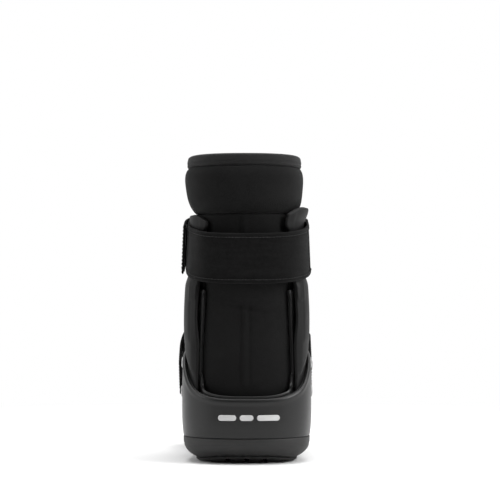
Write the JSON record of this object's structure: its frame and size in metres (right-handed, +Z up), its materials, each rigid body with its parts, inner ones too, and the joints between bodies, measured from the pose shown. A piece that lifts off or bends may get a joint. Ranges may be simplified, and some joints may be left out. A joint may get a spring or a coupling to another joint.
{
  "type": "ankle foot orthosis",
  "caption": "Short padded walker boot with a rocker sole, hard shell, side struts, soft liner and hook-and-loop straps.",
  "frame": {"origin": "on the floor under the axis of the leg, on the sole's flat tread", "axes": "+X right seen from behind, +Y towards the toes, +Z up"},
  "size_m": [0.1225, 0.2884, 0.275],
  "materials": {
    "tread_rubber": "matte",
    "sole_foam": "matte",
    "shell_plastic": "satin",
    "strut_plastic": "satin",
    "rivet_metal": "satin",
    "badge_paint": "matte",
    "ring_plastic": "gloss",
    "insole_foam": "matte",
    "hook_tape": "matte",
    "liner_fabric": "matte",
    "binding_fabric": "matte",
    "strap_webbing": "matte"
  },
  "bodies": {
    "boot": {"outsole": "tread_rubber", "midsole": "sole_foam", "shell": "shell_plastic", "ankle_frame": "shell_plastic", "strut_left": "strut_plastic", "strut_right": "strut_plastic", "strut_rivets": "rivet_metal", "heel_badge": "badge_paint", "insole": "insole_foam", "liner_collar": "liner_fabric", "collar_binding": "binding_fabric", "liner_leg": "liner_fabric", "liner_heel": "liner_fabric", "liner_foot": "liner_fabric", "tongue": "liner_fabric", "hook_pads": "hook_tape", "strap_rivets": "rivet_metal", "ankle_strap": "strap_webbing", "instep_chafe": "strap_webbing", "instep_landing": "strap_webbing", "forefoot_chafe": "strap_webbing", "forefoot_landing": "strap_webbing"},
    "ankle_ring_body": {"ankle_ring": "ring_plastic"},
    "ankle_strap_body": {"ankle_strap_free": "strap_webbing", "ankle_hook_tab": "hook_tape"},
    "instep_ring_body": {"instep_ring": "ring_plastic"},
    "instep_strap_body": {"instep_strap": "strap_webbing", "instep_hook_tab": "hook_tape", "instep_pad": "liner_fabric"},
    "forefoot_ring_body": {"forefoot_ring": "ring_plastic"},
    "forefoot_strap_body": {"forefoot_strap": "strap_webbing", "forefoot_hook_tab": "hook_tape"},
    "shin_flap_body": {"shin_flap": "liner_fabric"},
    "forefoot_flap_body": {"forefoot_flap": "liner_fabric"}
  },
  "joints": [
    {"name": "ankle_ring_pivot", "type": "hinge", "parent": "boot", "child": "ankle_ring_body", "pos_m": [0.05272, 0.01571, 0.19775], "axis": [0, 0.1908, -0.9816], "range_deg": [0, 20]},
    {"name": "ankle_strap_swing", "type": "hinge", "parent": "ankle_ring_body", "child": "ankle_strap_body", "pos_m": [0.04709, 0.02832, 0.2002], "axis": [0, 0.1908, -0.9816], "range_deg": [0, 105]},
    {"name": "instep_ring_pivot", "type": "hinge", "parent": "boot", "child": "instep_ring_body", "pos_m": [0.05582, 0.03864, 0.09709], "axis": [0, 0.5736, -0.8192], "range_deg": [0, 20]},
    {"name": "instep_strap_swing", "type": "hinge", "parent": "instep_ring_body", "child": "instep_strap_body", "pos_m": [0.04982, 0.04837, 0.1039], "axis": [0, 0.5736, -0.8192], "range_deg": [0, 105]},
    {"name": "forefoot_ring_pivot", "type": "hinge", "parent": "boot", "child": "forefoot_ring_body", "pos_m": [0.05552, 0.1163, 0.05722], "axis": [0, 0.9703, -0.2419], "range_deg": [0, 20]},
    {"name": "forefoot_strap_swing", "type": "hinge", "parent": "forefoot_ring_body", "child": "forefoot_strap_body", "pos_m": [0.05262, 0.11871, 0.06691], "axis": [0, 0.9703, -0.2419], "range_deg": [0, 55]},
    {"name": "shin_flap_swing", "type": "hinge", "parent": "boot", "child": "shin_flap_body", "pos_m": [0.03647, 0.03892, 0.20226], "axis": [0, 0.1908, -0.9816], "range_deg": [0, 58]},
    {"name": "forefoot_flap_swing", "type": "hinge", "parent": "boot", "child": "forefoot_flap_body", "pos_m": [0.04197, 0.12108, 0.07641], "axis": [0, 0.9703, -0.2419], "range_deg": [0, 28]}
  ],
  "couplings": [
    {"joint": "shin_flap_swing", "follows": "ankle_strap_swing", "ratio": 0.55},
    {"joint": "forefoot_flap_swing", "follows": "forefoot_strap_swing", "ratio": 0.5}
  ]
}
